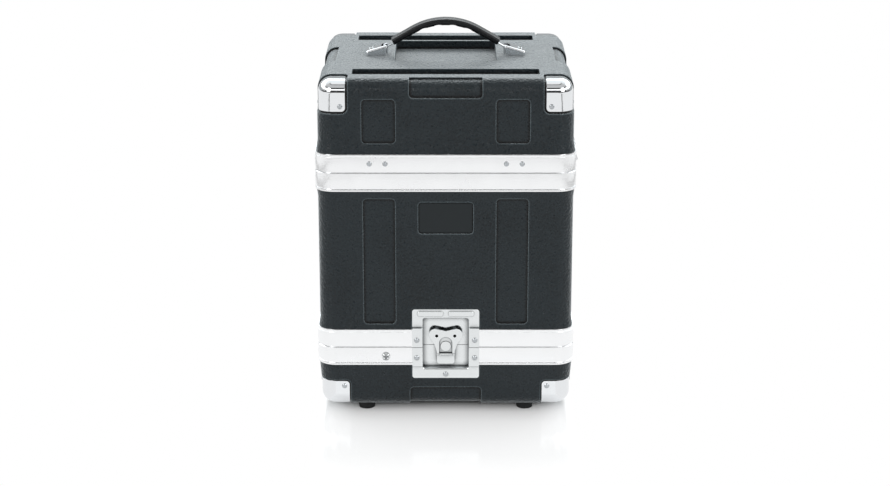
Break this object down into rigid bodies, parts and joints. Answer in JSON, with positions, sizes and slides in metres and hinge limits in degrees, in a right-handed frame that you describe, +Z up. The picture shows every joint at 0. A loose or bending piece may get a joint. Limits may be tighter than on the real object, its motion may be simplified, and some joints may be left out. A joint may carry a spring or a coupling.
{
  "type": "wireless microphone case",
  "caption": "Tall moulded equipment case in a base, a hinged body and a hinged lid, with aluminium edge frames, steel corners, recessed twist latches and a strap handle.",
  "frame": {"origin": "on the floor under the middle of the case", "axes": "+Z up, the badge and front latch face -Y, +X to the right seen from the front"},
  "size_m": [0.4086, 0.4086, 0.5957],
  "materials": {
    "shell_plastic": "pebbled moulding",
    "frame_aluminium": "satin anodised extrusion",
    "polished_steel": "bright plate",
    "plated_steel": "zinc plate",
    "foam": "open foam",
    "foot_rubber": "moulded",
    "grip_plastic": "soft moulding",
    "floor_board": "smooth sheet",
    "badge_plastic": "bare, fine texture"
  },
  "bodies": {
    "base": {"base_shell": "shell_plastic", "base_frame": "frame_aluminium", "base_corner_front_left": "polished_steel", "base_corner_front_right": "polished_steel", "base_corner_rear_left": "polished_steel", "base_corner_rear_right": "polished_steel", "base_rivets": "plated_steel", "foot_front_left": "foot_rubber", "foot_front_right": "foot_rubber", "foot_rear_left": "foot_rubber", "foot_rear_right": "foot_rubber", "foot_screws": "plated_steel", "base_foam": "foam", "front_latch_dish": "polished_steel", "front_latch_bracket": "polished_steel", "base_hinge_left_lower_leaf": "polished_steel", "base_hinge_right_lower_leaf": "polished_steel", "base_hinge_pins": "polished_steel", "frame_screw": "plated_steel"},
    "body": {"body_shell": "shell_plastic", "body_lower_frame": "frame_aluminium", "body_upper_frame": "frame_aluminium", "body_floor": "floor_board", "body_foam": "foam", "body_foam_pad": "foam", "badge_plate": "badge_plastic", "front_latch_keeper": "polished_steel", "side_latch_dish": "polished_steel", "side_latch_bracket": "polished_steel", "base_hinge_left_upper_leaf": "polished_steel", "base_hinge_right_upper_leaf": "polished_steel", "lid_hinge_front_lower_leaf": "polished_steel", "lid_hinge_rear_lower_leaf": "polished_steel", "lid_hinge_pins": "polished_steel", "body_rivets": "plated_steel"},
    "lid": {"lid_shell": "shell_plastic", "lid_frame": "frame_aluminium", "lid_corner_front_left": "polished_steel", "lid_corner_front_right": "polished_steel", "lid_corner_rear_left": "polished_steel", "lid_corner_rear_right": "polished_steel", "lid_foam": "foam", "handle_cap_left": "polished_steel", "handle_cap_right": "polished_steel", "cap_screws": "plated_steel", "side_latch_keeper": "polished_steel", "lid_hinge_front_upper_leaf": "polished_steel", "lid_hinge_rear_upper_leaf": "polished_steel", "guide_tongues_front": "plated_steel", "guide_tongues_rear": "plated_steel", "lid_rivets": "plated_steel"},
    "handle": {"handle_strap": "plated_steel", "handle_grip": "grip_plastic"},
    "front_spindle": {"front_latch_spindle": "polished_steel"},
    "front_wing": {"front_latch_wing": "polished_steel"},
    "front_hook": {"front_latch_hook": "polished_steel"},
    "side_spindle": {"side_latch_spindle": "polished_steel"},
    "side_wing": {"side_latch_wing": "polished_steel"},
    "side_hook": {"side_latch_hook": "polished_steel"}
  },
  "joints": [
    {"name": "body_tilt", "type": "hinge", "parent": "base", "child": "body", "pos_m": [0, 0.2028, 0.115], "axis": [-1, 0, 0], "range_deg": [0, 90]},
    {"name": "lid_open", "type": "hinge", "parent": "body", "child": "lid", "pos_m": [0.2028, 0, 0.395], "axis": [0, 1, 0], "range_deg": [0, 100]},
    {"name": "handle_lift", "type": "slide", "parent": "lid", "child": "handle", "axis": [0, 0, 1], "range_m": [0, 0.0035]},
    {"name": "front_latch_turn", "type": "hinge", "parent": "base", "child": "front_spindle", "pos_m": [0, -0.2, 0.115], "axis": [0, -1, 0], "range_deg": [0, 180]},
    {"name": "front_wing_fold", "type": "hinge", "parent": "front_spindle", "child": "front_wing", "pos_m": [0, -0.1965, 0.1025], "axis": [1, 0, 0], "range_deg": [0, 90]},
    {"name": "front_hook_slide", "type": "slide", "parent": "base", "child": "front_hook", "axis": [0, 0, 1], "range_m": [0, 0.008]},
    {"name": "side_latch_turn", "type": "hinge", "parent": "body", "child": "side_spindle", "pos_m": [-0.2, 0, 0.395], "axis": [-1, 0, 0], "range_deg": [0, 180]},
    {"name": "side_wing_fold", "type": "hinge", "parent": "side_spindle", "child": "side_wing", "pos_m": [-0.1965, 0, 0.3825], "axis": [0, -1, 0], "range_deg": [0, 90]},
    {"name": "side_hook_slide", "type": "slide", "parent": "body", "child": "side_hook", "axis": [0, 0, 1], "range_m": [0, 0.008]}
  ],
  "couplings": [
    {"joint": "front_hook_slide", "follows": "front_latch_turn", "m_per_rad": 0.0025465},
    {"joint": "side_hook_slide", "follows": "side_latch_turn", "m_per_rad": 0.0025465}
  ]
}
